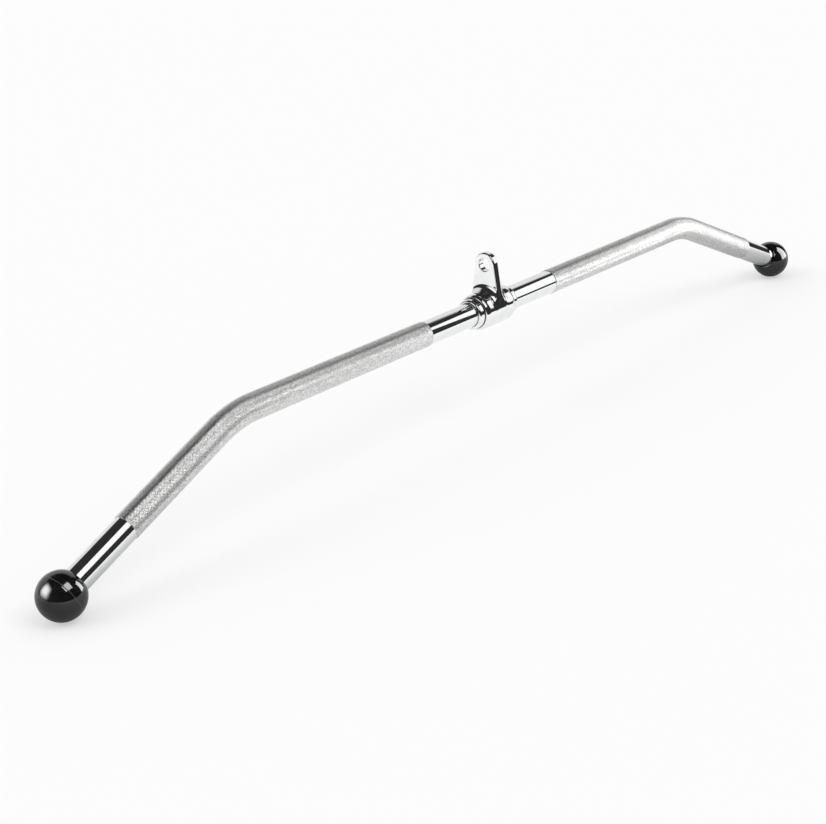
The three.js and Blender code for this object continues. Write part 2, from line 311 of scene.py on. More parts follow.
def turned(profile):
    """A mesh revolved about +Z from (radius, height) points that go up the outside."""
    bm = bmesh.new()
    rings = []
    for radius, height in profile:
        ring = []
        for j in range(ROUND_STEPS if radius else 1):
            angle = 2 * math.pi * j / ROUND_STEPS
            ring.append(bm.verts.new((radius * math.cos(angle), radius * math.sin(angle), height)))
        rings.append(ring)
    join_rings(bm, rings)
    return bm


def join_rings(bm, rings):
    """Faces from each ring of points to the next. A ring of one point closes an end."""
    for low, high in zip(rings, rings[1:]):
        for j in range(ROUND_STEPS):
            k = (j + 1) % ROUND_STEPS
            corners = [low[j % len(low)], low[k % len(low)], high[k % len(high)], high[j % len(high)]]
            bm.faces.new(list(dict.fromkeys(corners)))


def to_mesh(bm, name, place=Matrix()):
    """A finished mesh from a bmesh, moved to its place and smooth except at its edges."""
    bmesh.ops.transform(bm, matrix=place, verts=bm.verts)
    mesh = bpy.data.meshes.new(name)
    bm.to_mesh(mesh)
    bm.free()
    mesh.shade_smooth()
    mesh.set_sharp_from_angle(angle=SHARP_ANGLE)
    return mesh


def add_piece(name, mesh, body, slot, material, *nodes):
    """A piece that rides on a body and stands for CAD nodes."""
    piece = bpy.data.objects.new(name, mesh)
    bpy.context.scene.collection.objects.link(piece)
    mesh.materials.clear()
    mesh.materials.append(material)
    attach(piece, body)
    if nodes:
        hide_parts(*nodes)


def dress(node, material):
    """Gives a CAD node a material."""
    slots = frame["nodes"][node].material_slots
    for slot in slots:
        slot.material = material
    if not slots:
        raise RuntimeError(f"{node} has no material slot")


def bend_tangent(bar):
    """Distance from the bend's vertex to either end of its arc."""
    return bar.bend_radius * math.tan(bar.bend_angle / 2)


def vertex_at(bar):
    """Distance along the centreline at which the bend's tangents would cross."""
    return bar.bend_vertex - 2 * bend_tangent(bar) + bar.bend_radius * bar.bend_angle


def centreline(bar, along):
    """Place and outward direction of the bar's centreline at a distance from its middle."""
    side = -1 if along < 0 else 1
    start = bar.bend_vertex - bend_tangent(bar)
    past = max(abs(along) - start, 0)
    turned_by = min(past / bar.bend_radius, bar.bend_angle)
    leg = max(past - bar.bend_radius * bar.bend_angle, 0)
    x = min(abs(along), start) + bar.bend_radius * math.sin(turned_by) + leg * math.cos(turned_by)
    drop = bar.bend_radius * (1 - math.cos(turned_by)) + leg * math.sin(turned_by)
    place = AXIS + Vector((side * x, 0, -drop))
    return place, Vector((side * math.cos(turned_by), 0, -math.sin(turned_by)))


def rounded_union(a, b, radius):
    """Distance to two joined forms with a blend of a radius between them."""
    return np.maximum(radius, np.minimum(a, b)) - np.hypot(
        np.maximum(radius - a, 0), np.maximum(radius - b, 0)
    )


def rounded_overlap(a, b, radius):
    """Distance to what two forms share, with its edge rounded."""
    return -rounded_union(-a, -b, radius)


def gradient(distance, points, cell):
    """Slope of a distance function at some points."""
    reach = cell / 4
    slope = np.empty_like(points)
    for axis in range(3):
        step = np.zeros(3)
        step[axis] = reach
        slope[:, axis] = (distance(points + step) - distance(points - step)) / (2 * reach)
    return slope


def skin(distance, low, high, cell, name):
    """A smooth closed mesh round the space where a distance function is negative."""
    axes = [np.arange(a - cell, b + 2 * cell, cell) for a, b in zip(low, high)]
    values = distance(np.stack(np.meshgrid(*axes, indexing="ij"), axis=-1))
    inside = values < 0
    shape = np.array(inside.shape)
    total = np.zeros((*(shape - 1), 3))
    count = np.zeros(shape - 1)
    links = []
    for axis in range(3):
        others = [a for a in range(3) if a != axis]
        first = [slice(None)] * 3
        second = [slice(None)] * 3
        first[axis] = slice(0, -1)
        second[axis] = slice(1, None)
        edge = np.argwhere(inside[tuple(first)] != inside[tuple(second)])
        inner = np.all((edge[:, others] > 0) & (edge[:, others] < shape[others] - 1), axis=1)
        edge = edge[inner]
        tip = edge.copy()
        tip[:, axis] += 1
        v0 = values[tuple(edge.T)]
        v1 = values[tuple(tip.T)]
        spot = edge.astype(float)
        spot[:, axis] += v0 / (v0 - v1)
        corners = []
        for du, dv in ((0, 0), (-1, 0), (-1, -1), (0, -1)):
            cube = edge.copy()
            cube[:, others[0]] += du
            cube[:, others[1]] += dv
            np.add.at(total, tuple(cube.T), spot)
            np.add.at(count, tuple(cube.T), 1)
            corners.append(cube)
        quad = np.stack(corners, axis=1)
        flip = (v0 < 0) == (axis == 1)
        quad[flip] = quad[flip][:, ::-1]
        links.append(quad)
    used = count > 0
    number = np.full(used.shape, -1)
    number[used] = np.arange(used.sum())
    points = total[used] / count[used][:, None] * cell + np.array([a[0] for a in axes])
    for _ in range(SKIN_ROUNDS):
        slope = gradient(distance, points, cell)
        size = np.maximum((slope ** 2).sum(axis=1), LEAST_SLOPE)
        step = (distance(points) / size)[:, None] * slope
        points = points - np.clip(step, -cell / 2, cell / 2)
    faces = number[tuple(np.concatenate(links).transpose(2, 0, 1))]
    mesh = bpy.data.meshes.new(name)
    mesh.from_pydata(points.tolist(), [], faces.tolist())
    mesh.shade_smooth()
    slope = gradient(distance, points, cell)
    slope /= np.linalg.norm(slope, axis=1)[:, None]
    mesh.normals_split_custom_set_from_vertices(slope.tolist())
    return mesh


def add_node(tree, kind, inputs=None, **settings):
    """A node with its settings, and its inputs set or linked by name or number."""
    node = tree.nodes.new(kind)
    for key, value in settings.items():
        setattr(node, key, value)
    for key, value in (inputs or {}).items():
        if isinstance(value, bpy.types.NodeSocket):
            tree.links.new(value, node.inputs[key])
        else:
            node.inputs[key].default_value = value
    return node


def math_node(tree, operation, *values):
    """The result of a math node."""
    node = add_node(tree, "ShaderNodeMath", dict(enumerate(values)), operation=operation)
    return node.outputs[0]


def mixed(tree, factor, low, high):
    """A number between two others."""
    node = add_node(tree, "ShaderNodeMix", {0: factor, 2: low, 3: high}, data_type="FLOAT")
    return node.outputs[0]


def mixed_colour(tree, factor, low, high):
    """A colour between two others."""
    ends = [end if isinstance(end, bpy.types.NodeSocket) else (*end, 1) for end in (low, high)]
    node = add_node(tree, "ShaderNodeMix", {0: factor, 6: ends[0], 7: ends[1]}, data_type="RGBA")
    return node.outputs[2]


def ranged(tree, value, low, high, to_low=0.0, to_high=1.0, smooth=False):
    """A number moved from one range to another and kept within it."""
    node = add_node(
        tree, "ShaderNodeMapRange",
        {"Value": value, "From Min": low, "From Max": high, "To Min": to_low, "To Max": to_high},
        interpolation_type="SMOOTHSTEP" if smooth else "LINEAR",
    )
    return node.outputs[0]


def noise(tree, place, scale, detail, **more):
    """Cloudy noise at a place."""
    inputs = {"Vector": place, "Scale": scale, "Detail": detail, **more}
    return add_node(tree, "ShaderNodeTexNoise", inputs).outputs[0]


def split_vector(tree, vector):
    """The three parts of a vector."""
    return add_node(tree, "ShaderNodeSeparateXYZ", {0: vector}).outputs


def object_place(tree):
    """Where a point lies on its object."""
    return tree.nodes.new("ShaderNodeTexCoord").outputs["Object"]


def dimmed(shade, share):
    """A share of a colour."""
    return [share * value for value in shade]


def handling_marks():
    """Smudges, fine scratches and the slight waves of a plated or moulded surface."""
    name = "Handling marks"
    group = bpy.data.node_groups.get(name)
    if group:
        return group
    group = bpy.data.node_groups.new(name, "ShaderNodeTree")
    group.interface.new_socket("Vector", in_out="INPUT", socket_type="NodeSocketVector")
    for label, size in (("Smudge size", 40.0), ("Scratch size", 900.0)):
        socket = group.interface.new_socket(label, in_out="INPUT", socket_type="NodeSocketFloat")
        socket.default_value = size
    given = group.nodes.new("NodeGroupInput").outputs
    place = given["Vector"]
    smudge = noise(
        group, place, scale=given["Smudge size"], detail=4.0, Roughness=0.6, Distortion=0.6
    )
    stretched = add_node(group, "ShaderNodeMapping", {"Vector": place, "Scale": (0.15, 1.0, 1.0)})
    scratch = noise(group, stretched.outputs[0], scale=given["Scratch size"], detail=2.0)
    marks = {
        "Smudge": ranged(group, smudge, low=0.42, high=0.72, smooth=True),
        "Scratch": ranged(group, scratch, low=0.62, high=0.74),
        "Waves": noise(group, place, scale=120.0, detail=1.0),
    }
    for label in marks:
        group.interface.new_socket(label, in_out="OUTPUT", socket_type="NodeSocketFloat")
    result = group.nodes.new("NodeGroupOutput")
    for label, mark in marks.items():
        group.links.new(mark, result.inputs[label])
    return group


def marks_of(tree, smudge_size, scratch_size):
    """The handling marks, placed in a material by its object coordinates."""
    node = tree.nodes.new("ShaderNodeGroup")
    node.node_tree = handling_marks()
    tree.links.new(object_place(tree), node.inputs["Vector"])
    node.inputs["Smudge size"].default_value = smudge_size
    node.inputs["Scratch size"].default_value = scratch_size
    return node.outputs


def new_material(name, **values):
    """A material, its node tree and its shader, with plain values set on the shader."""
    material = bpy.data.materials.new(name)
    material.use_nodes = True
    tree = material.node_tree
    shader = tree.nodes["Principled BSDF"]
    for key, value in values.items():
        shader.inputs[key.replace("_", " ")].default_value = value
    return material, tree, shader


def finish(tree, shader, colour, rough):
    """Feeds a colour and a roughness to the shader."""
    tree.links.new(colour, shader.inputs["Base Color"])
    tree.links.new(rough, shader.inputs["Roughness"])


def bump(tree, shader, height, strength, distance):
    """Feeds a height to the shader's normal."""
    node = add_node(
        tree, "ShaderNodeBump", {"Height": height, "Strength": strength, "Distance": distance}
    )
    tree.links.new(node.outputs[0], shader.inputs["Normal"])


def polished_chrome(colours):
    """Bright chrome plate with faint smudges and hairline scratches, shared by what has it."""
    name = "Polished chrome plate"
    if name in bpy.data.materials:
        return bpy.data.materials[name]
    material, tree, shader = new_material(name, Metallic=1.0)
    marks = marks_of(tree, smudge_size=45.0, scratch_size=1400.0)
    colour = mixed_colour(tree, marks["Smudge"], colours.chrome, dimmed(colours.chrome, 0.93))
    rough = mixed(tree, marks["Smudge"], 0.035, 0.07)
    rough = math_node(tree, "MULTIPLY_ADD", marks["Scratch"], 0.04, rough)
    finish(tree, shader, colour, rough)
    bump(tree, shader, marks["Waves"], strength=0.25, distance=0.00004)
    return material


def knurled_chrome(colours):
    """Satin chrome plate on the knurl: painted shade that darkens the grooves against the crests,
    painted dark flecks that stand in for the glints of the knurl's facets, and worn patches.
    """
    material, tree, shader = new_material("Knurled chrome plate", Metallic=1.0)
    marks = marks_of(tree, smudge_size=60.0, scratch_size=2200.0)
    crest = add_node(tree, "ShaderNodeAttribute", attribute_name="crest").outputs["Fac"]
    # Painted shade: the grooves get a darker colour than the crests, as if shaded in the knurl's
    # hollows.
    colour = mixed_colour(tree, crest, dimmed(colours.knurl, 0.8), colours.knurl)
    worn = math_node(tree, "MULTIPLY", marks["Smudge"], 0.4)
    colour = mixed_colour(tree, worn, colour, dimmed(colours.knurl, 0.6))
    # Painted flecks: darker spots at the knurl's size, painted into the colour to stand in for its
    # facets glinting and going dark.
    painted_glint_flecks = noise(tree, object_place(tree), scale=560.0, detail=3.0)
    painted_glint_flecks = ranged(tree, painted_glint_flecks, low=0.36, high=0.64)
    painted_glint_flecks = math_node(tree, "MULTIPLY", painted_glint_flecks, 0.9)
    colour = mixed_colour(tree, painted_glint_flecks, colour, dimmed(colours.knurl, 0.5))
    finish(tree, shader, colour, mixed(tree, marks["Smudge"], 0.29, 0.34))
    return material


def moulded_plastic(colours):
    """Glossy black moulded plastic with faint dust, a slightly uneven gloss and a painted highlight
    along the mould seam.
    """
    material, tree, shader = new_material("Moulded black plastic", IOR=1.6)
    marks = marks_of(tree, smudge_size=70.0, scratch_size=1500.0)
    pale = [value + 0.004 for value in colours.plastic]
    grey = (0.035, 0.035, 0.035)
    colour = mixed_colour(tree, marks["Smudge"], colours.plastic, pale)
    dust = math_node(tree, "MULTIPLY", marks["Scratch"], 0.5)
    colour = mixed_colour(tree, dust, colour, grey)
    # The seam is rougher, which is real, and painted light grey, which is a painted highlight along its
    # ridge.
    seam = add_node(tree, "ShaderNodeAttribute", attribute_name="seam").outputs["Fac"]
    colour = mixed_colour(tree, seam, colour, grey)
    rough = mixed(tree, marks["Smudge"], 0.07, 0.14)
    rough = math_node(tree, "MULTIPLY_ADD", marks["Scratch"], 0.12, rough)
    rough = math_node(tree, "MULTIPLY_ADD", seam, 0.2, rough)
    finish(tree, shader, colour, rough)
    bump(tree, shader, marks["Waves"], strength=0.2, distance=0.00006)
    return material


def machined(name, shade, metallic, rough):
    """A plain machined, dyed or oiled surface with fine marks."""
    material, tree, shader = new_material(name, Metallic=metallic)
    marks = marks_of(tree, smudge_size=160.0, scratch_size=2600.0)
    colour = mixed_colour(tree, marks["Smudge"], shade, dimmed(shade, 0.72))
    finish(tree, shader, colour, mixed(tree, marks["Smudge"], *rough))
    bump(tree, shader, marks["Scratch"], strength=0.3, distance=0.00005)
    return material


def band(tree, angle, ends):
    """A mask of the angles between two ends in degrees, fading at both."""
    away = math_node(tree, "SUBTRACT", angle, math.radians(sum(ends) / 2))
    away = math_node(tree, "ABSOLUTE", away)
    half = math.radians((ends[1] - ends[0]) / 2)
    fade = math.radians(WALL_FADE)
    return ranged(tree, away, half + fade, half - fade, smooth=True)


def studio_world(studio):
    """Even light all round, and a dark studio with a bright back wall that only reflections see."""
    world = bpy.data.worlds.new("Studio")
    world.use_nodes = True
    tree = world.node_tree
    tree.nodes.clear()
    direction = split_vector(tree, tree.nodes.new("ShaderNodeTexCoord").outputs["Generated"])
    azimuth = math_node(tree, "ARCTAN2", direction[1], direction[0])
    elevation = math_node(tree, "ARCSINE", direction[2])
    across = band(tree, azimuth, WALL_AZIMUTHS)
    up = band(tree, elevation, WALL_ELEVATIONS)
    wall = math_node(tree, "MULTIPLY", across, up)
    level = mixed(tree, wall, DARK_LEVEL, WALL_LEVEL)
    rays = tree.nodes.new("ShaderNodeLightPath").outputs
    sharp = math_node(tree, "MAXIMUM", rays["Is Glossy Ray"], rays["Is Transmission Ray"])
    shown = mixed(tree, sharp, studio.sky_level, level)
    shown = mixed(tree, rays["Is Camera Ray"], shown, 1.0)
    background = add_node(tree, "ShaderNodeBackground", {"Color": WHITE, "Strength": shown})
    output = tree.nodes.new("ShaderNodeOutputWorld")
    tree.links.new(background.outputs[0], output.inputs["Surface"])
    bpy.context.scene.world = world


def hang(name, lamp, away):
    """Adds a lamp whose light comes from a direction."""
    holder = bpy.data.objects.new(name, lamp)
    holder.rotation_euler = away.to_track_quat("Z", "Y").to_euler()
    bpy.context.scene.collection.objects.link(holder)
    return holder


def direction_of(azimuth, elevation):
    """A direction from its azimuth and its elevation."""
    return Vector((
        math.cos(elevation) * math.cos(azimuth),
        math.cos(elevation) * math.sin(azimuth),
        math.sin(elevation),
    ))


def soft_lamp(name, angles, strength):
    """A broad, distant lamp that lights evenly and shows in no reflection."""
    lamp = bpy.data.lights.new(name, "SUN")
    lamp.angle = LAMP_ANGLE
    lamp.energy = strength
    azimuth, elevation = (math.radians(angle) for angle in angles)
    holder = hang(name, lamp, direction_of(azimuth, elevation))
    holder.visible_glossy = False


def softbox(name, place, target, width, height, softness, level, pieces):
    """A rectangular lamp beside the bar, fading at its edges, that some reflections see."""
    lamp = bpy.data.lights.new(name, "AREA")
    lamp.shape = "RECTANGLE"
    lamp.size = width
    lamp.size_y = height
    lamp.energy = level * math.pi * width * height
    lamp.use_nodes = True
    tree = lamp.node_tree
    across = split_vector(tree, tree.nodes.new("ShaderNodeNewGeometry").outputs["Parametric"])
    fade = 1.0
    for axis in (0, 1):
        away = math_node(tree, "ABSOLUTE", math_node(tree, "SUBTRACT", across[axis], 0.5))
        edge = ranged(tree, away, 0.5, 0.5 - softness, smooth=True)
        fade = math_node(tree, "MULTIPLY", edge, fade)
    tree.links.new(fade, tree.nodes["Emission"].inputs["Strength"])
    holder = hang(name, lamp, Vector(place) - Vector(target))
    holder.location = place
    holder.visible_camera = False
    holder.visible_diffuse = False
    holder.light_linking.receiver_collection = pieces


def floor_material(colours):
    """White paper that keeps soft shadows and stays white to the camera."""
    material, tree, shader = new_material(
        "White studio paper", Roughness=0.9, Emission_Color=WHITE, Emission_Strength=FLOOR_GLOW
    )
    shader.inputs["Specular IOR Level"].default_value = 0.0
    fibre = noise(tree, object_place(tree), scale=300.0, detail=3.0)
    colour = mixed_colour(tree, fibre, colours.floor, dimmed(colours.floor, 0.995))
    tree.links.new(colour, shader.inputs["Base Color"])
    return material


def table_material(colours):
    """The paper under the bar as reflections see it, with painted shade: dimmer along the bar and below
    its ends.
    """
    material = floor_material(colours)
    material.name = "White studio paper in reflections"
    tree = material.node_tree
    place = split_vector(tree, object_place(tree))
    along = math_node(tree, "ABSOLUTE", place[0])
    beside = math_node(tree, "ABSOLUTE", place[1])
    # Painted shade: the glow falls along the bar's line and fades out past its ends, where the bar
    # shades the paper.
    below = ranged(tree, along, SHADE_FROM, SHADE_TO, SHADED_GLOW, 0.0)
    glow = ranged(tree, beside, 0.0, SHADE_WIDTH, below, TABLE_GLOW)
    tree.links.new(glow, tree.nodes["Principled BSDF"].inputs["Emission Strength"])
    return material


def floor_plane(name, low, high, height, material):
    """A level rectangle of the stage."""
    corners = [
        (low[0], low[1], height), (high[0], low[1], height),
        (high[0], high[1], height), (low[0], high[1], height),
    ]
    mesh = bpy.data.meshes.new(name)
    mesh.from_pydata(corners, [], [(0, 1, 2, 3)])
    mesh.materials.append(material)
    plane = bpy.data.objects.new(name, mesh)
    bpy.context.scene.collection.objects.link(plane)
    return plane


class LATBAR_OT_stage(bpy.types.Operator):
    """Set up the floor, the light and the camera"""

    bl_idname = "latbar.stage"
    bl_label = "Stage"

    def execute(self, context):
        scene = context.scene
        studio = scene.lat_bar_studio
        colours = scene.lat_bar_colours
        scene.view_settings.view_transform = "Standard"
        paper = floor_material(colours)
        height = CAD_BOX[0][2] - TABLE_GAP
        table = floor_plane("table", *TABLE_CORNERS, height, table_material(colours))
        table.visible_camera = False
        table.visible_diffuse = False
        table.visible_shadow = False
        floor = floor_plane("floor", *FLOOR_CORNERS, height - FLOOR_GAP, paper)
        floor.visible_glossy = False
        studio_world(studio)
        soft_lamp("left lamp", LEFT_LAMP, studio.left_strength)
        soft_lamp("top lamp", TOP_LAMP, studio.top_strength)
        for title, boxes, levels, names, state in (
            ("balls", BALL_BOXES, studio.gloss_levels, BALLS, "INCLUDE"),
            ("grips", GRIP_BOXES, studio.grip_levels, GRIPS, "INCLUDE"),
            ("metal", METAL_BOXES, studio.metal_levels, BALLS + GRIPS, "EXCLUDE"),
        ):
            group = bpy.data.collections.new(title)
            for index, piece in enumerate(names):
                group.objects.link(bpy.data.objects[piece])
                group.collection_objects[index].light_linking.link_state = state
            for word, shape, level in zip(("left", "top", "right", "front"), boxes, levels):
                softbox(f"{word} softbox, {title}", *shape, level, group)
        scene.camera = self.camera(studio)
        return {"FINISHED"}

    def camera(self, studio):
        """The camera at the photograph's place."""
        data = bpy.data.cameras.new("camera")
        data.lens = studio.camera_lens
        data.sensor_width = SENSOR_WIDTH
        data.clip_end = CLIP_END
        camera = bpy.data.objects.new("camera", data)
        forward = direction_of(studio.camera_heading, studio.camera_pitch)
        level = forward.cross(Vector((0, 0, 1))).normalized()
        upright = level.cross(forward)
        roll = studio.camera_roll
        right = level * math.cos(roll) + upright * math.sin(roll)
        up = upright * math.cos(roll) - level * math.sin(roll)
        camera.location = studio.camera_place
        camera.rotation_euler = Matrix((right, up, -forward)).transposed().to_euler()
        bpy.context.scene.collection.objects.link(camera)
        return camera


class LATBAR_OT_bar(bpy.types.Operator):
    """Build the smooth chromed bar, bent down at both ends"""

    bl_idname = "latbar.bar"
    bl_label = "Bar"

    def execute(self, context):
        bar = context.scene.lat_bar_sizes
        end = vertex_at(bar) + bar.leg_length - bar.end_setback
        start = bar.bend_vertex - bend_tangent(bar)
        bend = np.linspace(start, start + bar.bend_radius * bar.bend_angle, BEND_POINTS)
        half = [(along, bar.radius) for along in bend]
        half += [
            (end - bar.end_chamfer, bar.radius),
            (end, bar.radius - bar.end_chamfer),
            (end, bar.stud_radius),
            (end + bar.stud_length, bar.stud_radius),
            (end + bar.stud_length, 0),
        ]
        stations = [(-along, radius) for along, radius in reversed(half)] + half
        across = Vector((0, 1, 0))
        bm = bmesh.new()
        rings = []
        for along, radius in stations:
            place, outward = centreline(bar, along)
            forward = outward if along > 0 else -outward
            up = forward.cross(across)
            ring = []
            for j in range(ROUND_STEPS if radius else 1):
                angle = 2 * math.pi * j / ROUND_STEPS
                offset = across * math.cos(angle) + up * math.sin(angle)
                ring.append(bm.verts.new(place + offset * radius))
            rings.append(ring)
        join_rings(bm, rings)
        mesh = to_mesh(bm, "bar_steel")
        chrome = polished_chrome(context.scene.lat_bar_colours)
        add_piece("bar_steel", mesh, "bar", "chrome_bar", chrome, "bent_bar")
        return {"FINISHED"}


def knurl_tree():
    """A diamond knurl along a path: a fine tube whose points stand up in turn."""
    tree = bpy.data.node_groups.new("Diamond knurl", "GeometryNodeTree")
    sockets = {}
    for label, kind, way in (
        ("Geometry", "NodeSocketGeometry", "INPUT"),
        ("Step along", "NodeSocketFloat", "INPUT"),
        ("Steps around", "NodeSocketInt", "INPUT"),
        ("Crest radius", "NodeSocketFloat", "INPUT"),
        ("Tooth depth", "NodeSocketFloat", "INPUT"),
        ("Finish", "NodeSocketMaterial", "INPUT"),
        ("Geometry", "NodeSocketGeometry", "OUTPUT"),
    ):
        socket = tree.interface.new_socket(label, in_out=way, socket_type=kind)
        sockets[way, label] = socket.identifier
    given = tree.nodes.new("NodeGroupInput").outputs
    result = tree.nodes.new("NodeGroupOutput")
    path = add_node(tree, "GeometryNodeMeshToCurve", {"Mesh": given["Geometry"]})
    path = add_node(
        tree, "GeometryNodeResampleCurve",
        {"Curve": path.outputs[0], "Length": given["Step along"]}, mode="LENGTH",
    )
    ring = add_node(
        tree, "GeometryNodeCurvePrimitiveCircle",
        {"Resolution": given["Steps around"], "Radius": given["Crest radius"]},
    )
    tube = add_node(
        tree, "GeometryNodeCurveToMesh",
        {"Curve": path.outputs[0], "Profile Curve": ring.outputs[0], "Fill Caps": True},
    )
    index = tree.nodes.new("GeometryNodeInputIndex").outputs[0]
    row = math_node(tree, "DIVIDE", index, given["Steps around"])
    row = math_node(tree, "FLOOR", row)
    turn = math_node(tree, "ADD", row, index)
    groove = math_node(tree, "FLOORED_MODULO", turn, 2.0)
    normal = tree.nodes.new("GeometryNodeInputNormal").outputs[0]
    depth = math_node(tree, "MULTIPLY", groove, given["Tooth depth"])
    depth = math_node(tree, "MULTIPLY", depth, -1.0)
    offset = add_node(tree, "ShaderNodeVectorMath", {0: normal, "Scale": depth}, operation="SCALE")
    shape = add_node(
        tree, "GeometryNodeSetPosition", {"Geometry": tube.outputs[0], "Offset": offset.outputs[0]}
    )
    # Marks the crests; the knurl's material uses it to paint shade into the grooves.
    crest = math_node(tree, "SUBTRACT", 1.0, groove)
    shape = add_node(
        tree, "GeometryNodeStoreNamedAttribute",
        {"Geometry": shape.outputs[0], "Name": "crest", "Value": crest},
        data_type="FLOAT", domain="POINT",
    )
    shape = add_node(tree, "GeometryNodeTriangulate", {"Mesh": shape.outputs[0]})
    shape = add_node(
        tree, "GeometryNodeSetShadeSmooth", {"Geometry": shape.outputs[0], "Shade Smooth": False}
    )
    shape = add_node(tree, "GeometryNodeRealizeInstances", {"Geometry": shape.outputs[0]})
    shape = add_node(
        tree, "GeometryNodeSetMaterial", {"Geometry": shape.outputs[0], "Material": given["Finish"]}
    )
    tree.links.new(shape.outputs[0], result.inputs["Geometry"])
    return tree, sockets


class LATBAR_OT_grips(bpy.types.Operator):
    """Knurl the two grips, over the bends"""

    bl_idname = "latbar.grips"
    bl_label = "Knurled grips"

    def execute(self, context):
        scene = context.scene
        bar = scene.lat_bar_sizes
        material = knurled_chrome(scene.lat_bar_colours)
        tree, sockets = knurl_tree()
        end = vertex_at(bar) + bar.grip_past_vertex
        for word, side in SIDES:
            stations = np.linspace(bar.grip_start, end, PATH_POINTS)
            places = [centreline(bar, side * along)[0] for along in stations]
            path = bpy.data.meshes.new("grip path")
            path.from_pydata(places, [(i, i + 1) for i in range(PATH_POINTS - 1)], [])
            maker = bpy.data.objects.new("grip path", path)
            scene.collection.objects.link(maker)
            modifier = maker.modifiers.new("Knurl", "NODES")
            modifier.node_group = tree
            for label, value in (
                ("Step along", bar.tooth_step),
                ("Steps around", bar.teeth_around),
                ("Crest radius", bar.crest_radius),
                ("Tooth depth", bar.tooth_depth),
                ("Finish", material),
            ):
                modifier[sockets["INPUT", label]] = value
            ready = maker.evaluated_get(context.evaluated_depsgraph_get())
            mesh = bpy.data.meshes.new_from_object(ready)
            bpy.data.objects.remove(maker)
            mesh.name = f"{word}_grip"
            if not mesh.polygons:
                raise RuntimeError("the knurl came out empty")
            add_piece(f"{word}_grip", mesh, "bar", "chrome_bar", material, "bent_bar")
        return {"FINISHED"}


class LATBAR_OT_hanger(bpy.types.Operator):
    """Build the forged hanger: a bored sleeve and a lug with an eye"""

    bl_idname = "latbar.hanger"
    bl_label = "Hanger"

    def execute(self, context):
        hanger = context.scene.lat_bar_hanger
        bush_low, bush_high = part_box("right_bush")
        axis_z = AXIS[2]
        flange_radius = (bush_high[2] - bush_low[2]) / 2 + FLANGE_GAP

        def distance(points):
            x = np.abs(points[..., 0])
            y = points[..., 1]
            z = points[..., 2] - axis_z
            around = np.hypot(y, z)
            rim = hanger.sleeve_rim
            side = around - hanger.sleeve_radius + rim
            end = (x - hanger.sleeve_length / 2 + hanger.sleeve_taper) * rim / hanger.sleeve_taper
            sleeve = np.minimum(np.maximum(side, end), 0)
            sleeve += np.hypot(np.maximum(side, 0), np.maximum(end, 0)) - rim
            faces = rounded_union(
                x - hanger.lug_thickness / 2, around - hanger.sleeve_radius, hanger.lug_fillet
            )
            reach = -axis_z
            lean = (hanger.sleeve_radius - hanger.lug_radius) / reach
            upright = math.sqrt(1 - lean * lean)
            beside = np.abs(y)
            rise = upright * z - lean * beside
            outline = upright * beside + lean * z - hanger.sleeve_radius
            outline = np.where(rise < 0, around - hanger.sleeve_radius, outline)
            top = np.hypot(beside, z - reach) - hanger.lug_radius
            outline = np.where(rise > upright * reach, top, outline)
            lug = rounded_overlap(faces, outline, hanger.lug_edge)
            lug = np.maximum(lug, x - hanger.lug_thickness / 2 - hanger.lug_fillet)
            body = rounded_union(sleeve, lug, SLEEVE_BLEND)
            eye = np.hypot(y, z - reach) - hanger.eye_radius
            body = rounded_overlap(body, -eye, hanger.eye_rim)
            body = rounded_overlap(body, hanger.bore_radius - around, BORE_EDGE)
            recess = np.maximum(around - flange_radius, bush_high[0] - RECESS_DEPTH - x)
            return rounded_overlap(body, -recess, RECESS_EDGE)

        low = (-hanger.sleeve_length / 2, -hanger.sleeve_radius, axis_z - hanger.sleeve_radius)
        high = (hanger.sleeve_length / 2, hanger.sleeve_radius, hanger.lug_radius)
        mesh = skin(distance, low, high, hanger.cell, "hanger_forging")
        chrome = polished_chrome(context.scene.lat_bar_colours)
        add_piece("hanger_forging", mesh, "hanger", "chrome_hanger", chrome, "hanger_body")
        return {"FINISHED"}


class LATBAR_OT_running_gear(bpy.types.Operator):
    """Build the shaft collars, and finish the bushes, washers and grub screws"""

    bl_idname = "latbar.running_gear"
    bl_label = "Collars, bushes and washers"

    def execute(self, context):
        scene = context.scene
        hanger = scene.lat_bar_hanger
        colours = scene.lat_bar_colours
        chrome = polished_chrome(colours)
        bronze = machined("Oiled bronze", colours.bronze, metallic=1.0, rough=(0.28, 0.42))
        nylon = machined("Black nylon", colours.nylon, metallic=0.0, rough=(0.42, 0.55))
        black = machined("Black oxide steel", colours.screw, metallic=1.0, rough=(0.34, 0.5))
        half = hanger.collar_width / 2

        def distance(points):
            x = np.abs(points[..., 0]) - hanger.collar_middle
            y = points[..., 1]
            z = points[..., 2] - AXIS[2]
            around = np.hypot(y, z)
            ring = rounded_overlap(around - hanger.collar_radius, x - half, hanger.collar_edge)
            ring = rounded_overlap(ring, -x - half, COLLAR_CORNER)
            ring = rounded_overlap(ring, hanger.collar_bore - around, COLLAR_CORNER)
            hole = np.maximum(np.hypot(x, y) - hanger.screw_hole, z)
            return rounded_overlap(ring, -hole, COLLAR_CORNER)

        for word, side in SIDES:
            name = f"{word}_shaft_collar"
            middle = Vector((side * hanger.collar_middle, 0, AXIS[2]))
            reach = Vector((half, hanger.collar_radius, hanger.collar_radius))
            mesh = skin(distance, middle - reach, middle + reach, hanger.collar_cell, name)
            add_piece(name, mesh, "bar", "chrome_collar", chrome, f"{word}_collar")
            dress(f"{word}_bush", bronze)
            dress(f"{word}_thrust_washer", nylon)
            dress(f"{word}_collar_screw", black)
        return {"FINISHED"}


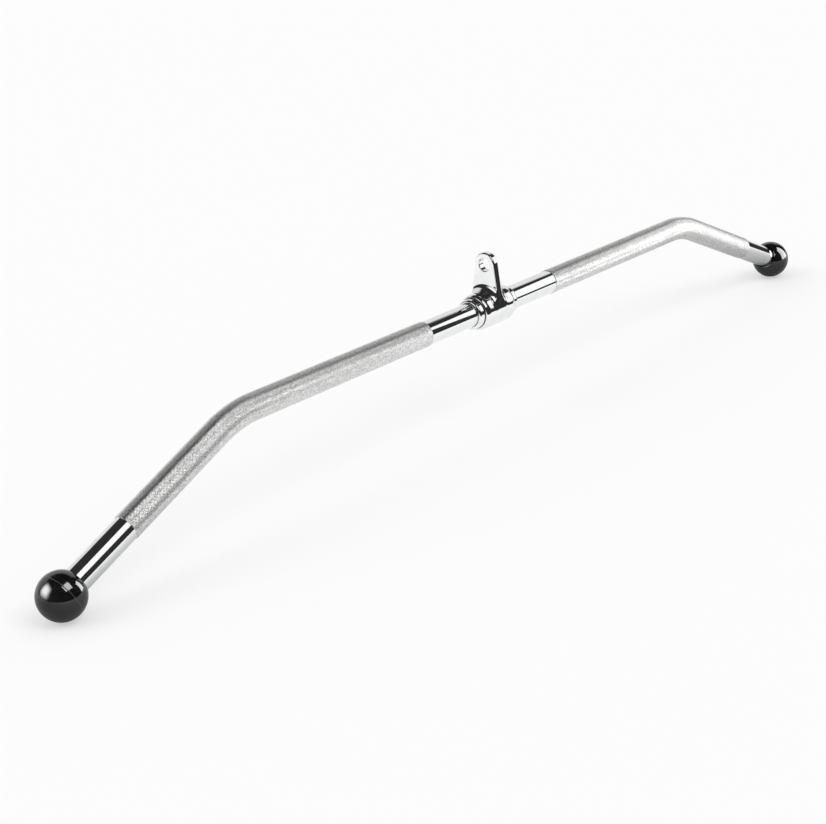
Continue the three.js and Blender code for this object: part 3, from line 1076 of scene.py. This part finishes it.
class LATBAR_OT_balls(bpy.types.Operator):
    """Build the moulded balls on the bar's ends"""

    bl_idname = "latbar.balls"
    bl_label = "End balls"

    def execute(self, context):
        scene = context.scene
        bar = scene.lat_bar_sizes
        ball = scene.lat_bar_balls
        colours = scene.lat_bar_colours
        plastic = moulded_plastic(colours)
        brass = machined("Turned brass", colours.brass, metallic=1.0, rough=(0.22, 0.36))
        profile = self.profile(ball)
        at = vertex_at(bar) + bar.leg_length
        for word, side in SIDES:
            name = f"{word}_end_ball"
            place, outward = centreline(bar, side * at)
            turn = Vector((0, 0, 1)).rotation_difference(-outward).to_matrix().to_4x4()
            bm = turned(profile)
            # Marks the points along the mould seam that the plastic paints with a painted highlight.
            seam_highlight = bm.verts.layers.float.new("seam")
            for vertex in bm.verts:
                close = abs(vertex.co.z) < SEAM_MARK_SHARE * ball.seam_width
                vertex[seam_highlight] = close and vertex.co.xy.length > SEAM_LEAST_RADIUS
            mesh = to_mesh(bm, name, Matrix.Translation(place) @ turn)
            add_piece(name, mesh, "bar", "ball_plastic", plastic, f"{word}_ball")
            dress(f"{word}_ball_insert", brass)
        return {"FINISHED"}

    def profile(self, ball):
        """The ball's outline from its far pole, over the mould seam, to the bottom of its pocket."""
        mouth = ball.seat_radius + ball.lip
        mouth_out = math.sqrt(ball.radius ** 2 - mouth ** 2)
        mouth_angle = math.asin(mouth_out / ball.radius)
        clear = ball.seam_width * SEAM_CLEAR_SHARE
        below = [(0, -ball.radius)]
        above = []
        for angle in np.linspace(-math.pi / 2, mouth_angle - MOUTH_ANGLE_GAP, BALL_ROWS)[1:]:
            radius = ball.radius * math.cos(angle)
            height = ball.radius * math.sin(angle)
            if height < -clear:
                below.append((radius, height))
            elif height > clear:
                above.append((radius, height))
        seam = [
            (ball.radius + ball.seam_height * (1 - step * step), step * ball.seam_width / 2)
            for step in SEAM_STEPS
        ]
        seat = mouth_out - ball.seat_depth
        pocket = seat - ball.pocket_depth
        return below + seam + above + [
            (mouth - MOUTH_EDGE, mouth_out),
            (ball.seat_radius + SEAT_EDGE, mouth_out),
            (ball.seat_radius, mouth_out - MOUTH_EDGE),
            (ball.seat_radius, seat),
            (ball.pocket_radius, seat),
            (ball.pocket_radius, pocket),
            (0, pocket),
        ]


GROUPS = (
    ("lat_bar_sizes", LatBarSizes),
    ("lat_bar_hanger", LatBarHanger),
    ("lat_bar_balls", LatBarBalls),
    ("lat_bar_colours", LatBarColours),
    ("lat_bar_studio", LatBarStudio),
)
OPERATORS = (
    LATBAR_OT_bar,
    LATBAR_OT_grips,
    LATBAR_OT_hanger,
    LATBAR_OT_running_gear,
    LATBAR_OT_balls,
    LATBAR_OT_stage,
)


class LATBAR_PT_panel(bpy.types.Panel):
    """Lists the sizes, colours and pieces of the bar"""

    bl_label = "Lat Bar"
    bl_space_type = "VIEW_3D"
    bl_region_type = "UI"
    bl_category = "Lat Bar"

    def draw(self, context):
        for name, group in GROUPS:
            box = self.layout.box()
            box.label(text=group.__doc__.rstrip("."))
            for label in group.__annotations__:
                box.prop(getattr(context.scene, name), label)
        for operator in OPERATORS:
            self.layout.operator(operator.bl_idname)


def register():
    """Registers the sizes and colours, the operators and the panel."""
    for name, group in GROUPS:
        bpy.utils.register_class(group)
        setattr(bpy.types.Scene, name, PointerProperty(type=group))
    for cls in (*OPERATORS, LATBAR_PT_panel):
        bpy.utils.register_class(cls)


def unregister():
    """Takes back what register did, in reverse."""
    for cls in reversed((*OPERATORS, LATBAR_PT_panel)):
        bpy.utils.unregister_class(cls)
    for name, group in reversed(GROUPS):
        delattr(bpy.types.Scene, name)
        bpy.utils.unregister_class(group)


def main():
    """Builds the bar and its stage."""
    register()
    bpy.ops.latbar.bar()
    bpy.ops.latbar.grips()
    bpy.ops.latbar.hanger()
    bpy.ops.latbar.running_gear()
    bpy.ops.latbar.balls()
    bpy.ops.latbar.stage()


if __name__ == "__main__":
    main()
